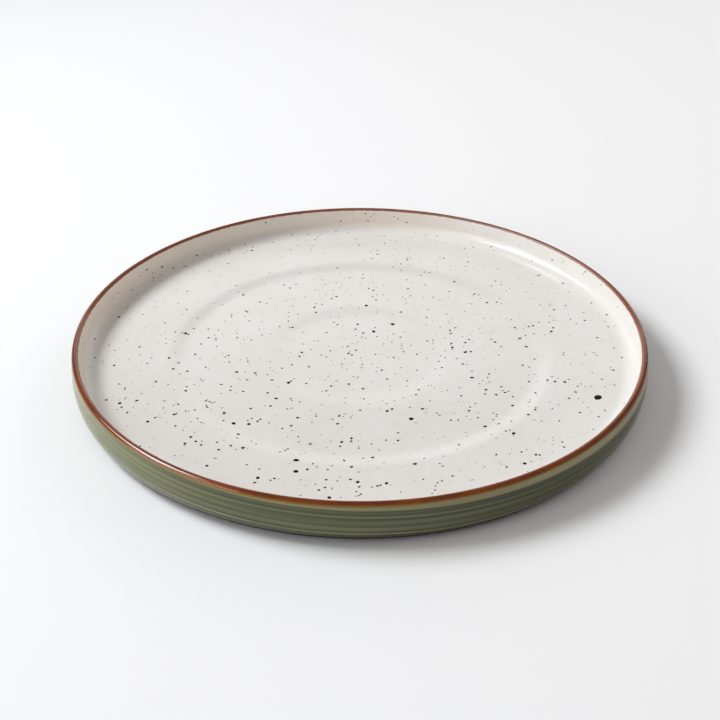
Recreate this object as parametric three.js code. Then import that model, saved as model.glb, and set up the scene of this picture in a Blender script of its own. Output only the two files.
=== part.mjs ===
// A round dinner plate of glazed stoneware, with a low wall, a rolled lip and a foot ring.
// Millimetres, +Z up. The origin is on the table, at the middle of the foot ring.
// The clay body is one turned piece, and four coats of glaze are fired onto it edge to edge.
import * as THREE from 'three';

// Clay body: wall and lip
const BODY_DIAMETER = 269.2; // at the widest point of the wall
const BODY_HEIGHT = 21.1; // table to the top of the lip
const SWELL_HEIGHT = 12; // table to the widest point of the wall
const LIP_INSET = 0.65; // widest point in to the outer side of the lip
const LIP_THICKNESS = 2.5;

// Clay body: the well inside the wall
const WELL_HEIGHT = 7.6; // table to the inner edge of the outer terrace
const TERRACE_RISE = 1; // the outer terrace goes up by this much towards the wall
const CORNER_REACH = 8.8; // inner wall in to the terrace
const CORNER_RISE = 5.5; // terrace up to the plumb part of the inner wall
const OUTER_STEP_RADIUS = 88; // axis to the middle of the outer slope
const OUTER_STEP_WIDTH = 13; // length of the outer slope, measured flat
const OUTER_STEP_DROP = 1.05; // the outer slope goes down towards the axis
const INNER_STEP_RADIUS = 41; // axis to the middle of the inner slope
const INNER_STEP_WIDTH = 18; // length of the inner slope, measured flat
const INNER_STEP_DROP = 0.55; // the inner slope goes down too

// Clay body: underside
const HEEL_TUCK = 5.6; // widest point of the wall in to the flat underside
const HEEL_HEIGHT = 1.7; // table to the flat underside
const FOOT_INSET = 24.6; // widest point in to the outer edge of the foot
const FOOT_WIDTH = 5; // flat of the foot ring on the table
const FOOT_FLARE = 1.2; // how much the ring widens at its root, on each side
const RECESS_HEIGHT = 1.8; // table to the clay inside the foot ring

// Glaze
const GLAZE_THICKNESS = 0.4;
const BAND_START = 27; // degrees round the lip from its outer side, where the brown band starts
const BAND_END = 144; // and where it ends, on the inner side
const HEEL_COVER = 3; // how far the outer coat runs in under the heel
const FOOT_MARGIN = 1.5; // bare clay between the foot ring and the coat inside it

// Steps in each curve, and steps round the axis
const CURVE_STEPS = 4;
const CORNER_STEPS = 6;
const LIP_SIDE_STEPS = 2;
const TURN_STEPS = 60;
const SAME_POINT = 1e-4; // two points closer than this are one

const widestRadius = BODY_DIAMETER / 2;
const lipRadius = LIP_THICKNESS / 2;
const lipOuterRadius = widestRadius - LIP_INSET;
const lipCentre = new THREE.Vector2(lipOuterRadius - lipRadius, BODY_HEIGHT - lipRadius);
const middleHeight = WELL_HEIGHT - OUTER_STEP_DROP;
const centreHeight = middleHeight - INNER_STEP_DROP;
const terraceRadius = lipCentre.x - lipRadius - CORNER_REACH;
const terraceHeight = WELL_HEIGHT + TERRACE_RISE;
const heelRadius = widestRadius - HEEL_TUCK;
const footOuterRadius = widestRadius - FOOT_INSET;
const footInnerRadius = footOuterRadius - FOOT_WIDTH;
const recessRadius = footInnerRadius - FOOT_FLARE;

// Profile points are (distance from the axis, height above the table).
function point(radius, height) {
  return new THREE.Vector2(radius, height);
}

function arc(centre, reach, rise, fromDegrees, toDegrees, steps = CURVE_STEPS) {
  const from = THREE.MathUtils.degToRad(fromDegrees);
  const to = THREE.MathUtils.degToRad(toDegrees);
  const curve = new THREE.EllipseCurve(centre.x, centre.y, reach, rise, from, to, to < from);
  return curve.getPoints(steps);
}

// An S-shaped curve that leaves its first point, and meets its last, along one direction.
function easeUp(from, to) {
  const middle = (from.y + to.y) / 2;
  const curve = new THREE.CubicBezierCurve(from, point(from.x, middle), point(to.x, middle), to);
  return curve.getPoints(CURVE_STEPS);
}

function easeIn(from, to) {
  const middle = (from.x + to.x) / 2;
  const curve = new THREE.CubicBezierCurve(from, point(middle, from.y), point(middle, to.y), to);
  return curve.getPoints(CURVE_STEPS);
}

function join(...paths) {
  const points = paths.flat();
  return points.filter((p, i) => i === 0 || p.distanceTo(points[i - 1]) > SAME_POINT);
}

// A soft slope down to the next terrace of the well.
function slope(radius, width, fromHeight, toHeight) {
  const outer = point(radius + width / 2, fromHeight);
  const inner = point(radius - width / 2, toHeight);
  return easeIn(outer, inner);
}

// The outline of the clay runs from the axis under the base, out round the wall and lip,
// and back over the well to the axis. Each stretch starts where the one before it ends.
const baseStretch = [point(0, RECESS_HEIGHT), point(recessRadius - FOOT_MARGIN, RECESS_HEIGHT)];

const bareStretch = [
  baseStretch.at(-1),
  point(recessRadius, RECESS_HEIGHT),
  point(footInnerRadius, 0),
  point(footOuterRadius, 0),
  point(footOuterRadius + FOOT_FLARE, HEEL_HEIGHT),
  point(heelRadius - HEEL_COVER, HEEL_HEIGHT),
];

const wallStretch = join(
  [bareStretch.at(-1)],
  arc(point(heelRadius, SWELL_HEIGHT), HEEL_TUCK, SWELL_HEIGHT - HEEL_HEIGHT, -90, 0),
  easeUp(point(widestRadius, SWELL_HEIGHT), point(lipOuterRadius, lipCentre.y)),
  arc(lipCentre, lipRadius, lipRadius, 0, BAND_START, LIP_SIDE_STEPS),
);

const bandStretch = join(
  arc(lipCentre, lipRadius, lipRadius, BAND_START, 90),
  arc(lipCentre, lipRadius, lipRadius, 90, BAND_END),
);

const wellStretch = join(
  [bandStretch.at(-1), point(lipCentre.x - lipRadius, lipCentre.y)],
  arc(point(terraceRadius, terraceHeight + CORNER_RISE), CORNER_REACH, CORNER_RISE, 0, -90, CORNER_STEPS),
  slope(OUTER_STEP_RADIUS, OUTER_STEP_WIDTH, WELL_HEIGHT, middleHeight),
  slope(INNER_STEP_RADIUS, INNER_STEP_WIDTH, middleHeight, centreHeight),
  [point(0, centreHeight)],
);

const outline = join(baseStretch, bareStretch, wallStretch, bandStretch, wellStretch);

// The normal that points out of the clay, on the right of the way that the outline runs.
function normal(from, to) {
  return point(to.y - from.y, from.x - to.x).normalize();
}

// A point of the outline, moved out to the glaze's surface.
function glazed(bed) {
  const i = outline.findIndex((p) => p.distanceTo(bed) < SAME_POINT);
  const acrossAxis = (p) => point(-p.x, p.y);
  const before = outline[i - 1] ?? acrossAxis(outline[i + 1]);
  const after = outline[i + 1] ?? acrossAxis(outline[i - 1]);
  const first = normal(before, bed);
  const mitre = first.clone().add(normal(bed, after)).normalize();
  return mitre.multiplyScalar(GLAZE_THICKNESS / mitre.dot(first)).add(bed);
}

// A coat's closed profile: its bed on the clay, and its own surface back over it.
function coatProfile(stretch) {
  const surface = stretch.map(glazed);
  const bed = stretch.toReversed();
  if (stretch[0].x === 0) return [...surface, ...bed];
  if (stretch.at(-1).x === 0) return [...bed, ...surface];
  return [...surface, ...bed, surface[0]];
}

function turned(name, profile, material) {
  const geometry = new THREE.LatheGeometry(profile, TURN_STEPS).rotateX(Math.PI / 2);
  const mesh = new THREE.Mesh(geometry, new THREE.MeshStandardMaterial(material));
  mesh.name = name;
  return mesh;
}

const bareClay = { color: 0x6e4a36, roughness: 0.85, metalness: 0 };
const creamGlaze = { color: 0xe6e2dd, roughness: 0.18, metalness: 0 };
const brownGlaze = { color: 0x73341a, roughness: 0.2, metalness: 0 };
const greenGlaze = { color: 0x5c6248, roughness: 0.25, metalness: 0 };

const plate = new THREE.Group();
plate.add(
  turned('stoneware_body', outline, bareClay),
  turned('well_glaze', coatProfile(wellStretch), creamGlaze),
  turned('rim_band', coatProfile(bandStretch), brownGlaze),
  turned('wall_glaze', coatProfile(wallStretch), greenGlaze),
  turned('underside_glaze', coatProfile(baseStretch), greenGlaze),
);

export default plate;
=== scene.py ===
# %% [markdown]
# A speckled stoneware plate
#
# The plate is one turned piece of clay under four coats of glaze: cream in the well, brown over
# the lip, brushed green outside and under the base. It is the same all round its axis, so each
# piece is drawn once as a profile and spun. First the imported model is loaded. It gives the main
# sizes, and its parts are hidden where the new pieces take their place.

# %% Load the imported model
import math
import random

import bpy
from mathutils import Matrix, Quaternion, Vector
from mathutils.geometry import interpolate_bezier


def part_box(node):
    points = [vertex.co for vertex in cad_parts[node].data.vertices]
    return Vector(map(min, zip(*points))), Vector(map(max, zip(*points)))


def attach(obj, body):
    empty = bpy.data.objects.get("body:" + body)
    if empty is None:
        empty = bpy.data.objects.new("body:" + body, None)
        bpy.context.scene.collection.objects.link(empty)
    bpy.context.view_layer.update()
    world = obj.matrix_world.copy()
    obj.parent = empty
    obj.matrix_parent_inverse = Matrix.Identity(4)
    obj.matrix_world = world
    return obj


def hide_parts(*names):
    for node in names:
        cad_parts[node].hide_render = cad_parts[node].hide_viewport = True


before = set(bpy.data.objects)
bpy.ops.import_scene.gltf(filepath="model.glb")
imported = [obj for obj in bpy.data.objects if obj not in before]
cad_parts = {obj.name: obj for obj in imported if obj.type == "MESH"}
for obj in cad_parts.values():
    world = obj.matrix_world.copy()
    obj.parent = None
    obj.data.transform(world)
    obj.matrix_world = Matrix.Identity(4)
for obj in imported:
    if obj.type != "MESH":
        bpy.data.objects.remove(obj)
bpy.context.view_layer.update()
scene = bpy.context.scene
scene.view_settings.view_transform = "Standard"

# %% [markdown]
# The camera
#
# The photograph was taken from the front, looking down by about 32 degrees. A camera could be
# placed by eye. Here its height, distance and lens come from a pinhole camera that was fitted to
# the rim's ellipse and the outline of the wall, so the plate fills the picture as it does there.

# %% Camera
IMAGE_SIZE = 720
CAMERA_BACK = 0.48973
CAMERA_HEIGHT = 0.30726
CAMERA_PITCH = math.radians(31.902)
FOCAL_PIXELS = 1194.9
SENSOR_WIDTH = 36.0

bpy.ops.object.select_all(action="DESELECT")
bpy.ops.object.camera_add(
    location=(0, -CAMERA_BACK, CAMERA_HEIGHT),
    rotation=(math.pi / 2 - CAMERA_PITCH, 0, 0),
)
camera = bpy.context.object
camera.name = "camera"
camera.data.sensor_width = SENSOR_WIDTH
camera.data.lens = FOCAL_PIXELS / IMAGE_SIZE * SENSOR_WIDTH
scene.camera = camera
print("lens", round(camera.data.lens, 2), "mm")

# %% [markdown]
# The light
#
# The shadow falls to the right with a soft edge, and the lip and the far corner of the well carry
# narrow white gleams. Both say that a softbox stands on the left. A sun lamp is as bright far
# away as near, and here the table darkens towards the right, so an area lamp stands there
# upright. A second lamp in its place is left out of the diffuse light, and only makes the gleams
# stronger. Large dim boards do the rest. One on the right and one high in front fill the shadow,
# and are left out of the reflections. One behind and one at the left in front give the glaze
# something pale to mirror.

# %% Panel helper
def add_panel(name, place, facing, size, brightness, colour):
    """An area lamp. Brightness is what a mirror would show, so the size can change freely."""
    bpy.ops.object.light_add(type="AREA", location=place, rotation=facing)
    lamp = bpy.context.object
    lamp.name = name
    lamp.data.shape = "RECTANGLE"
    lamp.data.size, lamp.data.size_y = size
    lamp.data.energy = math.pi * size[0] * size[1] * brightness
    lamp.data.color = colour
    print(name, round(lamp.data.energy, 2), "W")
    return lamp


print("panel helper ready")

# %% Softbox
UPRIGHT = math.pi / 2
TO_THE_RIGHT = (UPRIGHT, 0, -math.pi / 2)
SOFTBOX = ((-1.056, 0.224, 1.224), TO_THE_RIGHT, (0.8, 0.83))

add_panel("softbox", *SOFTBOX, brightness=14.9, colour=(0.965, 0.985, 1.0))
gleam = add_panel("softbox_gleam", *SOFTBOX, brightness=24.0, colour=(0.94, 0.98, 1.0))
gleam.visible_diffuse = False

# %% Boards
TO_THE_LEFT_FRONT = (UPRIGHT, 0, math.radians(110))
TO_THE_FRONT = (UPRIGHT, 0, math.pi)
TO_THE_RIGHT_BACK = (UPRIGHT, 0, math.radians(-63))
DOWN_TO_THE_BACK = (math.radians(38), 0, 0)

fill_board = add_panel(
    "fill_board", (0.8, 0.3, 0.62), TO_THE_LEFT_FRONT,
    size=(1.6, 1.2), brightness=0.82, colour=(1.0, 0.925, 0.85),
)
add_panel(
    "back_board", (0.05, 1.3, 0.52), TO_THE_FRONT,
    size=(1.9, 0.66), brightness=0.95, colour=(1.0, 0.98, 0.97),
)
add_panel(
    "front_board", (-1.1, -0.55, 0.5), TO_THE_RIGHT_BACK,
    size=(1.0, 0.8), brightness=2.5, colour=(1.0, 0.985, 0.96),
)
top_board = add_panel(
    "top_board", (0.2, -0.8, 1.0), DOWN_TO_THE_BACK,
    size=(1.6, 1.6), brightness=0.34, colour=(1.0, 0.98, 0.98),
)
for board in (fill_board, top_board):
    board.visible_glossy = False

# %% [markdown]
# Sums on shader sockets
#
# Every finish here is worked out from the place of a point on the plate: how high it is, how far
# from the axis. In the node editor each sum would be a Math node. This small class wraps a
# socket, so the sums can be written as Python expressions, and one method adds any other node.

# %% Wire class
class Wire:
    """One output socket in a node tree, with the arithmetic that the finishes use."""

    def __init__(self, tree, socket=None):
        self.tree = tree
        self.socket = socket

    def node(self, kind, settings=None, values=None, output=0):
        """Adds a node, sets it up, and gives one of its outputs."""
        made = self.tree.nodes.new(kind)
        for name, value in (settings or {}).items():
            setattr(made, name, value)
        for key, value in (values or {}).items():
            if isinstance(value, Wire):
                self.tree.links.new(value.socket, made.inputs[key])
            else:
                made.inputs[key].default_value = value
        return Wire(self.tree, made.outputs[output])

    def calc(self, operation, *others):
        """A Math node that starts from this socket."""
        values = dict(enumerate((self, *others)))
        return self.node("ShaderNodeMath", {"operation": operation}, values)

    def swapped(self, operation, first):
        """A Math node that ends with this socket, as in 1 - mask."""
        return self.node("ShaderNodeMath", {"operation": operation}, {0: first, 1: self})

    def __add__(self, other):
        return self.calc("ADD", other)

    def __radd__(self, other):
        return self.swapped("ADD", other)

    def __sub__(self, other):
        return self.calc("SUBTRACT", other)

    def __rsub__(self, other):
        return self.swapped("SUBTRACT", other)

    def __mul__(self, other):
        return self.calc("MULTIPLY", other)

    def __rmul__(self, other):
        return self.swapped("MULTIPLY", other)

    def __abs__(self):
        return self.calc("ABSOLUTE")


print("operators ready")


# %% Colours
def paint(red, green, blue):
    """A colour as a screen shows it, 0 to 255, turned into the linear colour that shaders use."""
    linear = []
    for value in (red / 255, green / 255, blue / 255):
        linear.append(value / 12.92 if value <= 0.04045 else ((value + 0.055) / 1.055) ** 2.4)
    return (*linear, 1.0)


def mix(factor, first, second):
    """A colour between two. The Mix node has its colours at inputs 6 and 7 and at output 2."""
    return factor.node("ShaderNodeMix", {"data_type": "RGBA"}, {0: factor, 6: first, 7: second}, 2)


print("middle grey as a linear colour", round(paint(128, 128, 128)[0], 3))


# %% Patterns
def fade(value, low, high):
    """Rises softly from 0 at low to 1 at high."""
    values = {"Value": value, "From Min": low, "From Max": high}
    return value.node("ShaderNodeMapRange", {"interpolation_type": "SMOOTHSTEP"}, values)


def stretch(place, across, up):
    """Scales a place before a noise reads it, so the pattern gets longer or shorter that way."""
    settings = {"operation": "MULTIPLY"}
    return place.node("ShaderNodeVectorMath", settings, {0: place, 1: (across, across, up)})


def noise(place, scale, detail=2.0, roughness=0.5):
    """A cloudy pattern of values between 0 and 1."""
    values = {"Vector": place, "Scale": scale, "Detail": detail, "Roughness": roughness}
    return place.node("ShaderNodeTexNoise", None, values)


def from_axis(parts):
    """How far a point is from the plate's axis."""
    return (parts[0] * parts[0] + parts[1] * parts[1]).calc("SQRT")


print("pattern helpers ready")


# %% Starting and ending a finish
def start_finish(name):
    """A new material, with the place of the shaded point in metres and its three parts."""
    material = bpy.data.materials.new(name)
    material.use_nodes = True
    place = Wire(material.node_tree).node("ShaderNodeTexCoord", None, None, "Object")
    parts = [place.node("ShaderNodeSeparateXYZ", None, {0: place}, axis) for axis in "XYZ"]
    return material, place, parts


def end_finish(material, colour, roughness, height, depth, ior):
    """Joins the finished colour, roughness and surface height to the material's shader."""
    shader = material.node_tree.nodes["Principled BSDF"]
    bump = height.node("ShaderNodeBump", None, {"Height": height, "Distance": depth})
    for name, wire in (("Base Color", colour), ("Roughness", roughness), ("Normal", bump)):
        material.node_tree.links.new(wire.socket, shader.inputs[name])
    shader.inputs["IOR"].default_value = ior
    print("finish", material.name, "has", len(material.node_tree.nodes), "nodes")
    return material


print("finish helpers ready")

# %% [markdown]
# The table and the room
#
# The plate stands on a plain white table that fills the photograph. A plane is enough for it, so
# large that its edge lies outside the photograph's view, with a matt pale finish that shows the
# soft shadow. The room could be a picture for the glaze to mirror, but the lamps already give it
# shapes to mirror, so the room is an even dim grey. It is twice as bright in reflections as it
# is for lighting.

# %% Table
TABLE_SIZE = 12.0
TABLE_TONES = (paint(248, 248, 250), paint(248, 249, 251))
TABLE_GRAIN_DEPTH = 0.00002

bpy.ops.object.select_all(action="DESELECT")
bpy.ops.mesh.primitive_plane_add(size=TABLE_SIZE)
table = bpy.context.object
table.name = "table"
table_paint, table_place, _ = start_finish("matt_white_table")
table_grain = noise(table_place, scale=400.0)
table_tone = mix(table_grain, *TABLE_TONES)
end_finish(table_paint, table_tone, table_grain * 0.1 + 0.75, table_grain, TABLE_GRAIN_DEPTH, ior=1.35)
table.data.materials.append(table_paint)

# %% Dim room
ROOM_DIFFUSE = 0.08
ROOM_GLOSSY = 0.16
ROOM_COLOUR = (1.0, 0.98, 0.97, 1.0)

world = bpy.data.worlds.new("dim_room")
scene.world = world
world.use_nodes = True
room = Wire(world.node_tree)
seen = room.node("ShaderNodeLightPath", None, None, "Is Camera Ray")
mirrored = room.node("ShaderNodeLightPath", None, None, "Is Glossy Ray")
shown = seen.calc("MAXIMUM", mirrored)
strength = shown * (ROOM_GLOSSY - ROOM_DIFFUSE) + ROOM_DIFFUSE
background = world.node_tree.nodes["Background"]
background.inputs["Color"].default_value = ROOM_COLOUR
world.node_tree.links.new(strength.socket, background.inputs["Strength"])
print("room", ROOM_DIFFUSE, "for diffuse light,", ROOM_GLOSSY, "for reflections")

# %% [markdown]
# The profile of the clay
#
# A potter's rib gives the plate its section: a foot ring, a rounded heel, a wall that swells a
# little, a rolled lip, and a well with two soft steps. The section could be traced from a
# drawing. Here it is built from a few measures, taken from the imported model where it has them,
# as stretches of outline that each start where the one before ends.

# %% Main sizes
LIP_INSET = 0.00065
LIP_RADIUS = 0.00125
SWELL_HEIGHT = 0.012
WELL_HEIGHT = 0.0076
TERRACE_RISE = 0.0010
CORNER_REACH = 0.0088
CORNER_RISE = 0.0055
HEEL_TUCK = 0.0056
HEEL_HEIGHT = 0.0017

clay_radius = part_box("stoneware_body")[1].x
clay_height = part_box("stoneware_body")[1].z
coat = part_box("wall_glaze")[1].x - clay_radius
lip_outer = clay_radius - LIP_INSET
lip_centre = Vector((lip_outer - LIP_RADIUS, clay_height - LIP_RADIUS))
flat_radius = lip_centre.x - LIP_RADIUS - CORNER_REACH
heel_radius = clay_radius - HEEL_TUCK
print("clay radius", round(clay_radius, 5), "height", round(clay_height, 5), "coat", round(coat, 5))

# %% Curves
CURVE_STEPS = 18
SAME_POINT = 1e-7


def arc(centre, reach, rise, start, end, steps=CURVE_STEPS):
    """Points along part of an ellipse, from one angle to another in degrees."""
    points = []
    for step in range(steps + 1):
        angle = math.radians(start + (end - start) * step / steps)
        points.append(Vector((centre[0] + reach * math.cos(angle), centre[1] + rise * math.sin(angle))))
    return points


def ease(first, last, upright):
    """An S-shaped curve that leaves its first point and meets its last along one direction."""
    if upright:
        middle = (first[1] + last[1]) / 2
        handles = Vector((first[0], middle)), Vector((last[0], middle))
    else:
        middle = (first[0] + last[0]) / 2
        handles = Vector((middle, first[1])), Vector((middle, last[1]))
    return interpolate_bezier(Vector(first), *handles, Vector(last), CURVE_STEPS + 1)


def join(*paths):
    """Strings paths together, and drops a point that repeats the one before it."""
    joined = []
    for point in (Vector(p).to_2d() for path in paths for p in path):
        if not joined or (point - joined[-1]).length > SAME_POINT:
            joined.append(point)
    return joined


print("curves in", CURVE_STEPS, "steps")

# %% Outline of the underside
FOOT_INSET = 0.0246
FOOT_WIDTH = 0.005
FOOT_FLARE = 0.0012
FOOT_ROUND = 0.0007
FOOT_MARGIN = 0.0015
FOOT_STEPS = 5
RECESS_HEIGHT = 0.0018
HEEL_COVER = 0.003

foot_outer = clay_radius - FOOT_INSET
foot_inner = foot_outer - FOOT_WIDTH
coat_end = foot_inner - FOOT_FLARE - FOOT_MARGIN
base_stretch = [Vector((0, RECESS_HEIGHT)), Vector((coat_end, RECESS_HEIGHT))]
bare_stretch = join(
    [base_stretch[-1], (foot_inner - FOOT_FLARE, RECESS_HEIGHT)],
    arc((foot_inner + FOOT_ROUND, FOOT_ROUND), FOOT_ROUND, FOOT_ROUND, 210, 270, FOOT_STEPS),
    arc((foot_outer - FOOT_ROUND, FOOT_ROUND), FOOT_ROUND, FOOT_ROUND, 270, 330, FOOT_STEPS),
    [(foot_outer + FOOT_FLARE, HEEL_HEIGHT), (heel_radius - HEEL_COVER, HEEL_HEIGHT)],
)
print("foot ring", round(foot_inner, 4), "to", round(foot_outer, 4))

# %% Outline of the wall and lip
BAND_START = 27
BAND_END = 144
BAND_STEPS = 28
LIP_SIDE_STEPS = 8

heel_arc = arc((heel_radius, SWELL_HEIGHT), HEEL_TUCK, SWELL_HEIGHT - HEEL_HEIGHT, -90, 0)
upper_wall = ease((clay_radius, SWELL_HEIGHT), (lip_outer, lip_centre.y), True)
lip_side = arc(lip_centre, LIP_RADIUS, LIP_RADIUS, 0, BAND_START, LIP_SIDE_STEPS)
wall_stretch = join([bare_stretch[-1]], heel_arc, upper_wall, lip_side)
band_stretch = arc(lip_centre, LIP_RADIUS, LIP_RADIUS, BAND_START, BAND_END, BAND_STEPS)
print("wall of", len(wall_stretch), "points, band of", len(band_stretch))

# %% Outline of the well
OUTER_STEP = (0.0945, 0.0815)
OUTER_DROP = 0.00105
INNER_STEP = (0.050, 0.032)
INNER_DROP = 0.00055
CORNER_STEPS = 28

corner_centre = (flat_radius, WELL_HEIGHT + TERRACE_RISE + CORNER_RISE)
middle_height = WELL_HEIGHT - OUTER_DROP
centre_height = middle_height - INNER_DROP
corner_arc = arc(corner_centre, CORNER_REACH, CORNER_RISE, 0, -90, CORNER_STEPS)
well_stretch = join(
    arc(lip_centre, LIP_RADIUS, LIP_RADIUS, BAND_END, 180, LIP_SIDE_STEPS),
    corner_arc,
    ease((OUTER_STEP[0], WELL_HEIGHT), (OUTER_STEP[1], middle_height), False),
    ease((INNER_STEP[0], middle_height), (INNER_STEP[1], centre_height), False),
    [(0, centre_height)],
)
outline = join(base_stretch, bare_stretch, wall_stretch, band_stretch, well_stretch)
print("outline of", len(outline), "points")

# %% [markdown]
# Spinning a profile
#
# On the wheel the section is swept round the axis, and Blender's spin does the same. The profile
# could be a curve with a Screw modifier, but spinning vertices in edit mode leaves a plain mesh
# at once. A small plane is added and merged to one vertex, that vertex is extruded from point to
# point, and the string of edges is spun. The seam and the poles are then merged, and the normals
# are turned outwards.

# %% Turn helper
TURN_STEPS = 240
MERGE_DISTANCE = 1e-6
SMOOTH_ANGLE = math.radians(35)


def turn(name, profile):
    """A piece of the plate, spun from a profile of (distance from the axis, height) points."""
    bpy.ops.object.select_all(action="DESELECT")
    bpy.ops.mesh.primitive_plane_add(size=0.001, location=(0, 0, 0))
    piece = bpy.context.object
    piece.name = name
    bpy.ops.object.mode_set(mode="EDIT")
    bpy.ops.mesh.merge(type="CENTER")
    bpy.ops.transform.translate(value=(profile[0].x, 0, profile[0].y))
    for start, end in zip(profile, profile[1:]):
        move = {"value": (end.x - start.x, 0, end.y - start.y)}
        bpy.ops.mesh.extrude_vertices_move(TRANSFORM_OT_translate=move)
    bpy.ops.mesh.select_all(action="SELECT")
    bpy.ops.mesh.spin(steps=TURN_STEPS, angle=math.tau, center=(0, 0, 0), axis=(0, 0, 1))
    bpy.ops.mesh.select_all(action="SELECT")
    bpy.ops.mesh.remove_doubles(threshold=MERGE_DISTANCE)
    bpy.ops.mesh.normals_make_consistent(inside=False)
    bpy.ops.object.mode_set(mode="OBJECT")
    bpy.ops.object.shade_smooth_by_angle(angle=SMOOTH_ANGLE)
    top = max(vertex.co.z for vertex in piece.data.vertices)
    print(name, len(piece.data.polygons), "faces", round(top, 5), "high")
    return piece


print("a turn takes", TURN_STEPS, "steps")

# %% Coat helpers
EDGE_STEPS = 6


def out_of_clay(index):
    """The direction out of the clay at a point of the outline, on the right of its way round."""
    before = outline[max(index - 1, 0)]
    after = outline[min(index + 1, len(outline) - 1)]
    along = (after - before).normalized()
    return Vector((along.y, -along.x))


def glazed(point):
    """A point of the outline, moved out to the glaze's surface."""
    index = min(range(len(outline)), key=lambda i: (outline[i] - point).length)
    return outline[index] + out_of_clay(index) * coat


def backwards(points):
    """The same points from last to first, for the way back along a coat."""
    return [points[-1 - i] for i in range(len(points))]


def rolled_edge(edge, inwards, outwards):
    """The rounded end of a coat, where the glaze stops on bare clay."""
    points = []
    for step in range(EDGE_STEPS):
        angle = math.radians(90 * step / EDGE_STEPS)
        points.append(edge + inwards * coat * (1 - math.cos(angle)) + outwards * coat * math.sin(angle))
    return points


print("coat helpers ready")

# %% [markdown]
# The clay body
#
# Under the glaze is dark stoneware with fine grit. It stays bare on the foot ring, so that the
# plate doesn't stick to the kiln shelf, in a narrow margin inside the ring, and on the flat
# outside it, nearly out to the heel. It could be left out where glaze hides it, but the body is
# the whole outline, spun, so that the coats lie on it all over. Its finish is matt, with pale
# and dark grains and a faint pitted bump.

# %% Clay body
clay_body = turn("clay_body", outline)
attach(clay_body, "root")
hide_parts("stoneware_body")

# %% Bare clay finish
CLAY_TONES = (paint(104, 69, 50), paint(124, 86, 63))
PALE_GRIT = paint(168, 132, 104)
DARK_GRIT = paint(58, 37, 27)
CLAY_PIT_DEPTH = 0.00006

clay, clay_place, _ = start_finish("bare_clay")
clay_cloud = noise(clay_place, scale=90.0, detail=4.0)
clay_grit = noise(clay_place, scale=1500.0, detail=1.0)
clay_tone = mix(fade(clay_cloud, 0.3, 0.7), *CLAY_TONES)
clay_tone = mix(fade(clay_grit, 0.62, 0.7) * 0.6, clay_tone, PALE_GRIT)
clay_tone = mix(fade(1 - clay_grit, 0.64, 0.72) * 0.8, clay_tone, DARK_GRIT)
clay_rough = clay_cloud * 0.15 + 0.75
end_finish(clay, clay_tone, clay_rough, clay_grit * 0.6 + clay_cloud, CLAY_PIT_DEPTH, ior=1.45)
clay_body.data.materials.append(clay)

# %% [markdown]
# The cream coat
#
# The well is poured with a glossy cream glaze that runs up the inner wall to the brown band. The
# coat could be the body's faces with another material. A real coat has a thickness, so it is a
# closed shell: its surface lies one coat outside the clay's outline, and its bed on the clay.
# The inner wall is warmer and lighter than the floor, except at the right. That is the warm fill
# light on its shaded side, so it is painted into the cream there as painted light. Whether that
# is the glaze or the light can't be told, so the colour is warmed there to match.

# %% Cream coat
cream_surface = [glazed(point) for point in well_stretch]
cream_surface[-1].x = 0
cream_coat = turn("cream_coat", backwards(well_stretch) + cream_surface)
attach(cream_coat, "root")
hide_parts("well_glaze")

# %% Cream glaze tones
CREAM_TONES = (paint(227, 224, 220), paint(230, 227, 224))
CREAM_PATCHES = paint(223, 216, 208)
CREAM_DUST = paint(150, 138, 124)

cream, cream_place, cream_parts = start_finish("cream_glaze")
cream_cloud = noise(cream_place, scale=30.0, detail=3.0)
cream_mottle = noise(cream_place, scale=190.0, detail=3.0, roughness=0.6)
cream_tone = mix(fade(cream_cloud, 0.32, 0.68), *CREAM_TONES)
cream_tone = mix(fade(cream_mottle, 0.5, 0.75) * 0.5, cream_tone, CREAM_PATCHES)
cream_dust = noise(cream_place, scale=1400.0, detail=1.0)
cream_tone = mix(fade(cream_dust, 0.72, 0.78) * 0.35, cream_tone, CREAM_DUST)
print("cream with patches and dust")

# %% Painted warm light on the inner wall, except at the right
PAINTED_WARM_LIGHT = paint(246, 234, 220)
PAINTED_LIGHT_HEIGHTS = (0.0095, 0.0135)
PAINTED_LIGHT_ENDS = (0.01, 0.08)

# Painted light: the wall is made warmer and lighter, as the warm fill light makes its shaded side.
painted_wall_light = fade(cream_parts[2], *PAINTED_LIGHT_HEIGHTS) * (1 - fade(cream_parts[0], *PAINTED_LIGHT_ENDS))
cream_tone = mix(painted_wall_light * 0.8, cream_tone, PAINTED_WARM_LIGHT)
print("warmer from", PAINTED_LIGHT_HEIGHTS[0], "m up")

# %% Edge of the cream glaze under the lip
STAINED_EDGE = paint(120, 70, 45)
STAIN_DEPTHS = (0.0004, 0.0001)
STAIN_WANDER = 0.0006
CREAM_WAVE_DEPTH = 0.00008

band_edge = glazed(band_stretch[-1])
edge_wander = noise(stretch(cream_place, 1.0, 0.2), scale=420.0)
edge_height = cream_parts[2] + (edge_wander - 0.5) * STAIN_WANDER
edge_tint = fade(edge_height, *(band_edge.y - depth for depth in STAIN_DEPTHS))
cream_tone = mix(edge_tint * 0.8, cream_tone, STAINED_EDGE)
cream_rough = cream_mottle * 0.06 + 0.13
cream_wave = noise(cream_place, scale=55.0)
end_finish(cream, cream_tone, cream_rough, cream_wave, CREAM_WAVE_DEPTH, ior=1.5)
cream_coat.data.materials.append(cream)

# %% [markdown]
# The brown band
#
# The rolled lip is dipped in an iron glaze. It is dark brown where it lies thick on the top of
# the roll, and amber where it thins out at both edges. It is a shell like the cream coat, whose
# profile closes on itself, because it doesn't reach the axis. On the far side of the plate the
# lip looks deep brown, so its inner side is made rougher there, and darker as painted shade.

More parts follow.
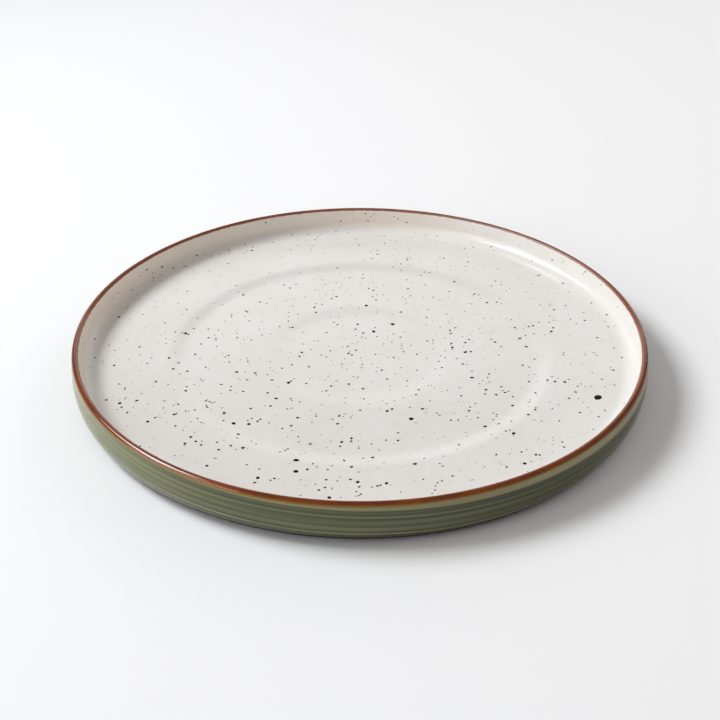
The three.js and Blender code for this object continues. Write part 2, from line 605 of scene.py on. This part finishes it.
# %% Brown band
band_surface = [glazed(point) for point in band_stretch]
brown_band = turn("brown_band", band_surface + backwards(band_stretch) + band_surface[:1])
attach(brown_band, "root")
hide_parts("rim_band")

# %% Brown glaze tones
BROWN_TONES = (paint(102, 44, 10), paint(126, 60, 16))
BROWN_GRAINS = paint(80, 30, 7)

brown, brown_place, brown_parts = start_finish("brown_glaze")
brown_radius = from_axis(brown_parts)
brown_cloud = noise(brown_place, scale=60.0, detail=3.0)
brown_grain = noise(brown_place, scale=700.0)
brown_tone = mix(fade(brown_cloud, 0.3, 0.7), *BROWN_TONES)
brown_tone = mix(fade(brown_grain, 0.55, 0.75) * 0.4, brown_tone, BROWN_GRAINS)
print("brown with darker grains")

# %% Amber edges of the band
OUTER_AMBER = paint(150, 88, 38)
OUTER_FADE = 0.0006
OUTER_WANDER = 0.0003
INNER_AMBER = paint(168, 84, 32)
INNER_FADE = 0.0009

outer_edge = band_surface[0].y
outer_height = brown_parts[2] + (brown_grain - 0.5) * OUTER_WANDER
thin_outside = 1 - fade(outer_height, outer_edge, outer_edge + OUTER_FADE)
brown_tone = mix(thin_outside * 0.7, brown_tone, OUTER_AMBER)
inner_edge = band_surface[-1].x
thin_inside = 1 - fade(brown_radius, inner_edge, inner_edge + INNER_FADE)
brown_tone = mix(thin_inside * 0.8, brown_tone, INNER_AMBER)
print("amber below", round(outer_edge + OUTER_FADE, 5), "and inside", round(inner_edge + INNER_FADE, 5))

# %% Painted shade on the far inner side of the band
FAR_PAINTED_SHADE = paint(110, 42, 5)
FAR_START = 0.0004
FAR_ENDS = (0.0, 0.05)
BROWN_WAVE_DEPTH = 0.00005

far_side = fade(brown_parts[1], *FAR_ENDS)
far_inside = (1 - fade(brown_radius, inner_edge + FAR_START, inner_edge + INNER_FADE)) * far_side
# Painted shade: the far inner side of the lip is darkened, which damps its reflection.
brown_tone = mix(far_inside * 0.7, brown_tone, FAR_PAINTED_SHADE)
brown_rough = brown_grain * 0.06 + 0.09 + far_inside * 0.4
end_finish(brown, brown_tone, brown_rough, brown_cloud, BROWN_WAVE_DEPTH, ior=1.6)
brown_band.data.materials.append(brown)

# %% [markdown]
# The green wall
#
# Outside, a grey-green glaze is brushed on while the plate turns, so its streaks run all round
# the wall: a pale olive band under the lip, fine grey and yellow-green lines below it, and a dark
# heel. A picture of streaks could be wrapped round the wall. Here the colour follows the height,
# and the noise that breaks it up is stretched round the plate. The wall is made darker on the
# right and paler on the left: painted shade on the side away from the softbox, and painted light
# on the side that faces it. That is taken as thick and thin glaze here, though part of it may be
# the light. The heel's brown is darkened further as painted shade by the table.

# %% Green wall
wall_surface = [glazed(point) for point in wall_stretch]
wall_roll = rolled_edge(wall_stretch[0], Vector((1, 0)), Vector((0, -1)))
green_wall = turn("green_wall", wall_roll + wall_surface[1:] + backwards(wall_stretch))
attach(green_wall, "root")
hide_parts("wall_glaze")

# %% Brush streaks
BRUSH_TILT = 0.018
BRUSH_DRIFT = 0.0008
GREEN_TONES = (paint(89, 95, 70), paint(100, 106, 78))
DARK_HAIRS = paint(68, 74, 54)
LIGHT_HAIRS = paint(130, 131, 90)

green, green_place, green_parts = start_finish("brushed_green_glaze")
brush_drift = noise(stretch(green_place, 9.0, 0.0), scale=1.0)
brush_height = green_parts[2] + green_parts[0] * BRUSH_TILT + (brush_drift - 0.5) * BRUSH_DRIFT
brush_values = {"X": green_parts[0], "Y": green_parts[1], "Z": brush_height}
brush_place = green_place.node("ShaderNodeCombineXYZ", None, brush_values)
hair_streak = noise(stretch(brush_place, 6.0, 850.0), scale=1.0)
broad_streak = noise(stretch(brush_place, 4.0, 520.0), scale=1.0, detail=1.0)
green_tone = mix(fade(broad_streak, 0.36, 0.62), *GREEN_TONES)
green_tone = mix(fade(hair_streak, 0.48, 0.64) * 0.8, green_tone, DARK_HAIRS)
green_tone = mix(fade(1 - hair_streak, 0.54, 0.68) * 0.6, green_tone, LIGHT_HAIRS)
print("streaks tilt by", round(BRUSH_TILT * clay_radius * 2, 4), "m across the plate")

# %% Brushed lines, each with its height, its reach to both sides and its strength
DEEP_GREY = paint(68, 71, 53)
GREY_LINES = ((0.0180, 0.0005, 0.6), (0.0162, 0.0006, 0.5), (0.0110, 0.0010, 0.5), (0.0050, 0.0012, 0.5))
YELLOW_GREEN = paint(160, 154, 98)
YELLOW_LINES = ((0.0151, 0.0003, 0.4), (0.0127, 0.0003, 0.5), (0.0069, 0.0004, 1.0))


def brushed_line(height, middle, reach, strength):
    """A line round the wall, full along its middle and fading out to both sides."""
    return (1 - fade(abs(height - middle), reach * 0.3, reach)) * strength


line_strength = fade(noise(stretch(green_place, 11.0, 0.0), scale=1.0), 0.2, 0.5)
for line_colour, lines in ((DEEP_GREY, GREY_LINES), (YELLOW_GREEN, YELLOW_LINES)):
    for middle, reach, weight in lines:
        line = brushed_line(brush_height, middle, reach, line_strength * weight)
        green_tone = mix(line, green_tone, line_colour)
print(len(GREY_LINES) + len(YELLOW_LINES), "brushed lines")

# %% Painted shade on the right, painted light on the left
SHADED_SIDE_GREEN = paint(46, 48, 28)
SHADED_SIDE_ENDS = (0.0, 0.09)
LIT_SIDE_GREEN = paint(144, 146, 114)
LIT_SIDE_ENDS = (0.04, 0.12)

# Painted shade on the right, the side away from the softbox.
painted_shade_right = fade(green_parts[0], *SHADED_SIDE_ENDS)
green_tone = mix(painted_shade_right * 0.55, green_tone, SHADED_SIDE_GREEN)
# Painted light on the left, the side that faces the softbox.
painted_light_left = fade(green_parts[0] * -1, *LIT_SIDE_ENDS)
green_tone = mix(painted_light_left * 0.5, green_tone, LIT_SIDE_GREEN)
print("dark from", SHADED_SIDE_ENDS[1], "m on the right, pale from", LIT_SIDE_ENDS[1], "m on the left")

# %% Olive band and amber edge
OLIVE = paint(148, 141, 102)
OLIVE_HEIGHTS = (0.0176, 0.0188)
AMBER = paint(140, 106, 42)
AMBER_START = lip_centre.y - 0.0006
AMBER_FULL = lip_centre.y + 0.0005

olive_streak = fade(hair_streak, 0.3, 0.6) * 0.6 + 0.4
olive_band = fade(brush_height, *OLIVE_HEIGHTS) * olive_streak
green_tone = mix(olive_band, green_tone, OLIVE)
amber_edge = fade(green_parts[2], AMBER_START, AMBER_FULL)
green_tone = mix(amber_edge * 0.9, green_tone, AMBER)
print("olive from", OLIVE_HEIGHTS[0], "m up, amber from", round(AMBER_START, 5))

# %% Brown that runs over the edge, further on the right, with painted shade there
RUN_BROWN = paint(116, 58, 26)
RUN_PAINTED_SHADE = paint(58, 30, 16)
RUN_ENDS = (0.08, 0.135)
RUN_DROP = 0.0007
RUN_FADE = 0.0003

run_height = AMBER_FULL - fade(green_parts[0], *RUN_ENDS) * RUN_DROP
brown_run = fade(green_parts[2] - run_height, 0.0, RUN_FADE)
green_tone = mix(brown_run * 0.85, green_tone, RUN_BROWN)
# Painted shade: the run is darkened on the right, the side away from the softbox.
green_tone = mix(brown_run * painted_shade_right * 0.7, green_tone, RUN_PAINTED_SHADE)
print("brown runs down by", RUN_DROP, "m on the right")

# %% Darker towards the bottom of the wall, and the heel's brown and painted shade
LOW_WALL_GREEN = paint(52, 52, 38)
LOW_WALL_HEIGHTS = (0.0036, 0.0064)
HEEL_BROWN_AND_SHADE = paint(26, 14, 10)
HEEL_HEIGHTS = (0.0038, 0.0048)
HEEL_WANDER = 0.0004
STREAK_DEPTH = 0.00002

# The green is darker towards the bottom of the wall.
low_wall_darkening = 1 - fade(green_parts[2], *LOW_WALL_HEIGHTS)
green_tone = mix(low_wall_darkening * 0.7, green_tone, LOW_WALL_GREEN)
# The heel is a dark brown edge of the coat, made darker still as painted shade where it meets the table.
heel = 1 - fade(green_parts[2] + (brush_drift - 0.5) * HEEL_WANDER, *HEEL_HEIGHTS)
green_tone = mix(heel, green_tone, HEEL_BROWN_AND_SHADE)
green_rough = hair_streak * 0.1 + 0.14 + heel * 0.5
end_finish(green, green_tone, green_rough, hair_streak + broad_streak, STREAK_DEPTH, ior=1.34)
green_wall.data.materials.append(green)

# %% [markdown]
# The glazed base
#
# The photograph doesn't show the underside. Here the recess inside the foot ring has the same
# green glaze, laid on with a wide brush while the plate turns upside down, so its streaks are
# rings. A flat disc would do, but the coat has a thickness, so it is a disc with a rolled edge.

# %% Green base
base_edge = base_stretch[-1]
base_roll = rolled_edge(base_edge, Vector((-1, 0)), Vector((0, -1)))
base_low = RECESS_HEIGHT - coat
base_surface = [Vector((0, base_low)), Vector((base_edge.x - coat, base_low))]
green_base = turn("green_base", base_surface + backwards(base_roll) + base_stretch[:1])
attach(green_base, "root")
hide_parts("underside_glaze")

# %% Base glaze finish
RING_SCALE = 700.0
ROUND_SCALE = 9.0
RING_TONES = (paint(86, 91, 67), paint(116, 118, 88))
BASE_PATCHES = paint(134, 131, 94)
BASE_AMBER = paint(150, 108, 64)
AMBER_DEPTHS = (0.003, 0.0003)
RING_DEPTH = 0.00003

base_paint, base_place, base_parts = start_finish("ringed_green_glaze")
base_radius = from_axis(base_parts)
ring_values = {
    "X": base_radius * RING_SCALE,
    "Y": base_parts[0] * ROUND_SCALE,
    "Z": base_parts[1] * ROUND_SCALE,
}
ring_place = base_place.node("ShaderNodeCombineXYZ", None, ring_values)
ring_streak = noise(ring_place, scale=1.0)
base_cloud = noise(base_place, scale=35.0, detail=3.0)
base_tone = mix(fade(ring_streak, 0.35, 0.65), *RING_TONES)
base_tone = mix(fade(base_cloud, 0.45, 0.75) * 0.5, base_tone, BASE_PATCHES)
edge_thin = fade(base_radius, *(base_edge.x - depth for depth in AMBER_DEPTHS))
base_tone = mix(edge_thin * 0.7, base_tone, BASE_AMBER)
end_finish(base_paint, base_tone, ring_streak * 0.1 + 0.17, ring_streak, RING_DEPTH, ior=1.52)
green_base.data.materials.append(base_paint)

# %% [markdown]
# The iron specks
#
# Grains of iron in the clay melt through the cream glaze as dark specks. A noise in the material
# could paint them, but their edges would blur, so each is a flat bead of 36 faces, half sunk in
# the glaze. Four beads are modelled and made uneven, and every speck is a copy of one of them.
# The boldest specks sit where the photograph shows them, and the fine ones are scattered.

# %% Four beads
BEAD_SHAPES = 4
BEAD_FLATNESS = 0.09
BEAD_UNEVENNESS = 0.09
FIRST_BEAD_SEED = 3

beads = []
for shape in range(BEAD_SHAPES):
    bpy.ops.object.select_all(action="DESELECT")
    bpy.ops.mesh.primitive_uv_sphere_add(segments=9, ring_count=4, radius=0.5, location=(0, 0, 0))
    bead = bpy.context.object
    bpy.ops.object.mode_set(mode="EDIT")
    bpy.ops.mesh.select_all(action="SELECT")
    bpy.ops.transform.vertex_random(
        offset=BEAD_UNEVENNESS, uniform=0.0, normal=0.0, seed=shape + FIRST_BEAD_SEED
    )
    bpy.ops.transform.resize(value=(1.0, 1.0, BEAD_FLATNESS), center_override=(0, 0, 0))
    bpy.ops.object.mode_set(mode="OBJECT")
    beads.append(bead)
print(len(beads), "beads of", len(beads[0].data.polygons), "faces")

# %% Where the well's surface lies
well_points = sorted(((p.x, p.y) for p in cream_surface), key=lambda p: p[0])
well_low = well_points[0][1]
well_edge, well_high = well_points[-1]


def well_surface(radius):
    """Height of the cream surface at a distance from the axis, and how steeply it rises there."""
    for (r0, z0), (r1, z1) in zip(well_points, well_points[1:]):
        if r0 <= radius <= r1 and r1 > r0:
            return z0 + (z1 - z0) * (radius - r0) / (r1 - r0), (z1 - z0) / (r1 - r0)
    return well_high, 0.0


print("well centre", round(well_surface(0.0)[0], 5), "outer terrace", round(well_surface(0.11)[0], 5))

# %% From a pixel of the photograph to a place in the well
HALVINGS = 30
SEARCH_MARGIN = 0.001


def seen_in_well(column, row):
    """The place in the well that lies behind a pixel of the photograph, found by halving."""
    centre = IMAGE_SIZE / 2
    ahead = Vector((0, math.cos(CAMERA_PITCH), -math.sin(CAMERA_PITCH)))
    up = Vector((0, math.sin(CAMERA_PITCH), math.cos(CAMERA_PITCH)))
    right = Vector((1, 0, 0))
    ray = ahead + right * (column - centre) / FOCAL_PIXELS + up * (centre - row) / FOCAL_PIXELS
    above, below = well_high, well_low - SEARCH_MARGIN
    for _ in range(HALVINGS):
        height = (above + below) / 2
        place = camera.location + ray * (height - camera.location.z) / ray.z
        radius = place.to_2d().length
        over_near_lip = radius > well_edge and place.to_2d().dot(ray.to_2d()) < 0
        if over_near_lip or height > well_surface(radius)[0]:
            above = height
        else:
            below = height
    return place


middle_seen = seen_in_well(IMAGE_SIZE / 2, IMAGE_SIZE / 2)
print("behind the middle pixel", [round(v, 4) for v in middle_seen])

# %% Bold specks, read from the photograph as column, row and width in millimetres
BOLD_SPECKS = (
    (597.9, 397.4, 2.9), (296.2, 460.2, 1.8), (295.9, 471.4, 1.7), (411.2, 418.8, 1.7), (392.6, 324.2, 1.7),
    (373.7, 331.5, 1.5), (288.5, 382.6, 1.5), (233.7, 423.4, 1.5), (185.7, 333.4, 1.4), (513.6, 433.3, 1.4),
    (366.3, 305.5, 1.3), (472.0, 377.6, 1.3), (119.7, 403.2, 1.3), (248.9, 424.0, 1.3), (524.7, 463.5, 1.3),
    (551.3, 331.4, 1.2), (236.7, 372.0, 1.2), (465.3, 352.2, 1.2), (387.2, 411.0, 1.2), (564.7, 382.0, 1.2),
    (224.2, 413.0, 1.2), (243.0, 447.8, 1.2), (257.8, 477.8, 1.2), (357.7, 482.0, 1.2), (414.9, 463.9, 1.2),
    (162.0, 267.3, 1.1), (119.0, 317.0, 1.1), (252.0, 250.5, 1.1), (243.3, 294.8, 1.1), (314.4, 307.2, 1.1),
    (185.8, 390.7, 1.1), (276.2, 398.4, 1.1), (452.3, 347.4, 1.1), (422.5, 408.7, 1.1), (519.9, 338.4, 1.1),
    (526.2, 346.7, 1.1), (147.7, 421.6, 1.1), (174.0, 414.5, 1.1), (190.7, 437.0, 1.1), (185.0, 443.6, 1.1),
    (206.9, 465.8, 1.1), (238.4, 434.2, 1.1), (341.8, 442.0, 1.1), (485.1, 426.4, 1.1), (372.7, 457.4, 1.1),
    (386.6, 483.3, 1.1), (336.4, 296.4, 1.0), (357.7, 324.2, 1.0), (454.3, 281.7, 1.0), (474.3, 294.0, 1.0),
    (539.0, 275.3, 1.0), (169.0, 357.9, 1.0), (173.2, 368.8, 1.0), (187.4, 371.2, 1.0), (114.2, 365.3, 1.0),
    (106.3, 399.9, 1.0), (136.9, 400.5, 1.0), (301.8, 352.4, 1.0), (348.6, 353.3, 1.0), (255.3, 373.0, 1.0),
    (348.7, 384.0, 1.0), (465.3, 342.5, 1.0), (495.0, 342.0, 1.0), (471.0, 351.6, 1.0), (486.0, 389.6, 1.0),
    (392.0, 409.0, 1.0), (555.0, 381.5, 1.0), (512.6, 405.5, 1.0), (337.6, 423.7, 1.0), (351.4, 438.3, 1.0),
    (351.5, 466.9, 1.0), (528.4, 414.6, 1.0), (146.7, 269.7, 0.9), (316.0, 312.4, 0.9), (292.5, 327.4, 0.9),
    (407.5, 259.7, 0.9), (373.4, 290.4, 0.9), (487.0, 302.4, 0.9), (400.7, 312.0, 0.9), (554.0, 309.6, 0.9),
    (584.8, 320.4, 0.9), (533.1, 325.7, 0.9), (553.0, 327.7, 0.9), (178.5, 362.8, 0.9), (195.0, 354.3, 0.9),
    (156.0, 381.5, 0.9), (363.3, 333.0, 0.9), (299.5, 356.4, 0.9), (356.0, 350.2, 0.9), (352.0, 355.0, 0.9),
    (272.0, 380.0, 0.9), (331.2, 386.0, 0.9), (363.0, 388.7, 0.9), (243.2, 391.4, 0.9), (267.7, 392.8, 0.9),
    (270.5, 406.0, 0.9), (250.7, 408.4, 0.9), (450.8, 333.4, 0.9), (451.3, 343.4, 0.9), (462.8, 364.0, 0.9),
    (496.3, 394.7, 0.9), (469.0, 410.7, 0.9), (522.7, 365.3, 0.9), (613.6, 370.2, 0.9), (575.7, 392.0, 0.9),
    (535.4, 409.7, 0.9), (195.8, 441.3, 0.9), (201.0, 444.9, 0.9), (218.7, 449.7, 0.9), (231.0, 445.6, 0.9),
    (257.5, 421.3, 0.9), (297.6, 417.7, 0.9), (307.3, 469.3, 0.9), (254.5, 482.6, 0.9), (318.8, 490.0, 0.9),
    (350.4, 479.4, 0.9), (398.0, 440.4, 0.9), (536.0, 454.7, 0.9), (505.0, 392.5, 0.9), (329.3, 497.6, 1.3),
)
# The smaller ones share one width, so only column and row are given.
SMALLER_SPECKS = (
    (152.4, 273.5), (132.0, 290.0), (196.8, 255.3), (231.7, 315.0), (337.3, 267.9), (283.8, 284.9),
    (290.0, 288.0), (259.8, 302.0), (245.8, 311.0), (337.6, 324.5), (355.4, 329.4), (408.0, 288.6),
    (376.0, 300.0), (496.6, 302.2), (455.6, 327.7), (450.0, 330.0), (563.0, 283.5), (606.6, 314.8),
    (528.5, 326.4), (514.7, 327.7), (95.0, 339.0), (208.6, 337.7), (201.0, 344.0), (139.5, 347.0),
    (228.5, 355.3), (121.5, 407.2), (178.2, 404.2), (205.8, 401.0), (194.7, 409.9), (230.3, 390.3),
    (347.8, 346.4), (282.0, 368.2), (308.8, 366.6), (247.2, 379.8), (306.3, 383.4), (326.5, 390.8),
    (360.0, 410.2), (400.6, 337.1), (427.2, 341.0), (416.7, 354.3), (393.7, 357.4), (469.0, 339.5),
    (441.9, 367.5), (381.8, 370.1), (387.0, 379.0), (489.0, 374.0), (418.7, 389.6), (416.0, 394.7),
    (461.2, 395.8), (485.0, 393.9), (501.2, 386.8), (597.3, 337.6), (534.5, 359.0), (621.8, 357.5),
    (529.0, 381.5), (535.5, 392.8), (569.3, 398.2), (127.3, 412.6), (155.0, 417.6), (175.4, 425.8),
    (216.9, 442.2), (260.3, 419.2), (291.2, 425.7), (338.9, 416.2), (310.0, 444.0), (340.2, 446.3),
    (351.2, 441.2), (274.5, 478.4), (326.2, 479.7), (450.8, 420.2), (498.8, 423.7), (459.0, 444.6),
    (496.2, 454.6), (452.5, 476.0), (380.4, 485.2), (377.4, 486.0), (579.8, 412.5), (564.0, 447.0),
    (521.6, 451.9), (506.6, 467.0), (188.3, 334.3), (291.3, 381.0), (325.0, 487.5),
)
SMALLER_WIDTH = 0.8
SPECK_SPREAD = 1.2
SPECK_HALO = 0.0002

bold_places = []
for column, row, size in BOLD_SPECKS + tuple((*pixel, SMALLER_WIDTH) for pixel in SMALLER_SPECKS):
    bold_places.append((seen_in_well(column, row), size / 1000 * SPECK_SPREAD + SPECK_HALO))
print(len(bold_places), "bold specks, furthest", round(max(p.to_2d().length for p, _ in bold_places), 4))

# %% Fine specks, scattered over the floor and its corner
SEED = 20
FINE_SPECKS = 1060
FINE_WIDTHS = (0.00026, 0.00033, 0.00042, 0.00052, 0.00062, 0.00074)
FINE_WEIGHTS = (14, 18, 19, 18, 17, 14)
SPECK_REACH = 0.1296
THINNING = 0.45

chance = random.Random(SEED)
fine_places = []
while len(fine_places) < FINE_SPECKS:
    radius = SPECK_REACH * math.sqrt(chance.random())
    angle = chance.uniform(0, math.tau)
    if chance.random() < 1 - THINNING * radius / SPECK_REACH:
        width = chance.choices(FINE_WIDTHS, FINE_WEIGHTS)[0] * chance.uniform(0.9, 1.1)
        width = width * SPECK_SPREAD + SPECK_HALO / 2
        place = Vector((radius * math.cos(angle), radius * math.sin(angle), well_surface(radius)[0]))
        fine_places.append((place, width))
print(len(fine_places), "fine specks on the floor and its corner")

# %% Fine specks, scattered over the plumb inner wall
WALL_SPECKS = 60

wall_radius = glazed(corner_arc[0]).x
for _ in range(WALL_SPECKS):
    angle = chance.uniform(0, math.tau)
    height = chance.uniform(corner_centre[1], lip_centre.y)
    place = Vector((wall_radius * math.cos(angle), wall_radius * math.sin(angle), height))
    fine_places.append((place, chance.choice(FINE_WIDTHS) * SPECK_SPREAD + SPECK_HALO / 2))
print(len(fine_places), "fine specks with those on the wall")

# %% Copy the beads to their places
WALL_RISE = 20.0  # a plumb wall has no slope in numbers, so a very steep one stands for it

specks = []
for place, width in bold_places + fine_places:
    radius = place.to_2d().length
    rise = WALL_RISE if radius > SPECK_REACH else well_surface(radius)[1]
    inwards = -place.to_2d().normalized() * rise
    speck = beads[chance.randrange(BEAD_SHAPES)].copy()
    speck.data = speck.data.copy()
    facing = Vector((inwards.x, inwards.y, 1)).to_track_quat("Z", "Y")
    speck.rotation_mode = "QUATERNION"
    speck.rotation_quaternion = facing @ Quaternion((0, 0, 1), chance.uniform(0, math.tau))
    speck.location = place
    long = chance.uniform(0.85, 1.2)
    speck.scale = (width * long, width / long, width)
    scene.collection.objects.link(speck)
    specks.append(speck)
print(len(specks), "specks placed")

# %% Join the specks
bpy.ops.object.select_all(action="DESELECT")
for bead in beads:
    bpy.data.objects.remove(bead)
for speck in specks:
    speck.select_set(True)
bpy.context.view_layer.objects.active = specks[0]
bpy.ops.object.join()
iron_specks = bpy.context.object
iron_specks.name = "iron_specks"
bpy.ops.object.transform_apply(location=True, rotation=True, scale=True)
bpy.ops.object.shade_smooth()
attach(iron_specks, "root")
print("iron specks", len(iron_specks.data.polygons), "faces")

# %% Iron finish
IRON_TONES = (paint(12, 9, 8), paint(28, 20, 16))
IRON_WAVE_DEPTH = 0.00002

iron, iron_place, _ = start_finish("melted_iron")
iron_cloud = noise(iron_place, scale=900.0)
iron_tone = mix(fade(iron_cloud, 0.35, 0.65), *IRON_TONES)
end_finish(iron, iron_tone, iron_cloud * 0.1 + 0.3, iron_cloud, IRON_WAVE_DEPTH, ior=1.15)
iron_specks.data.materials.append(iron)
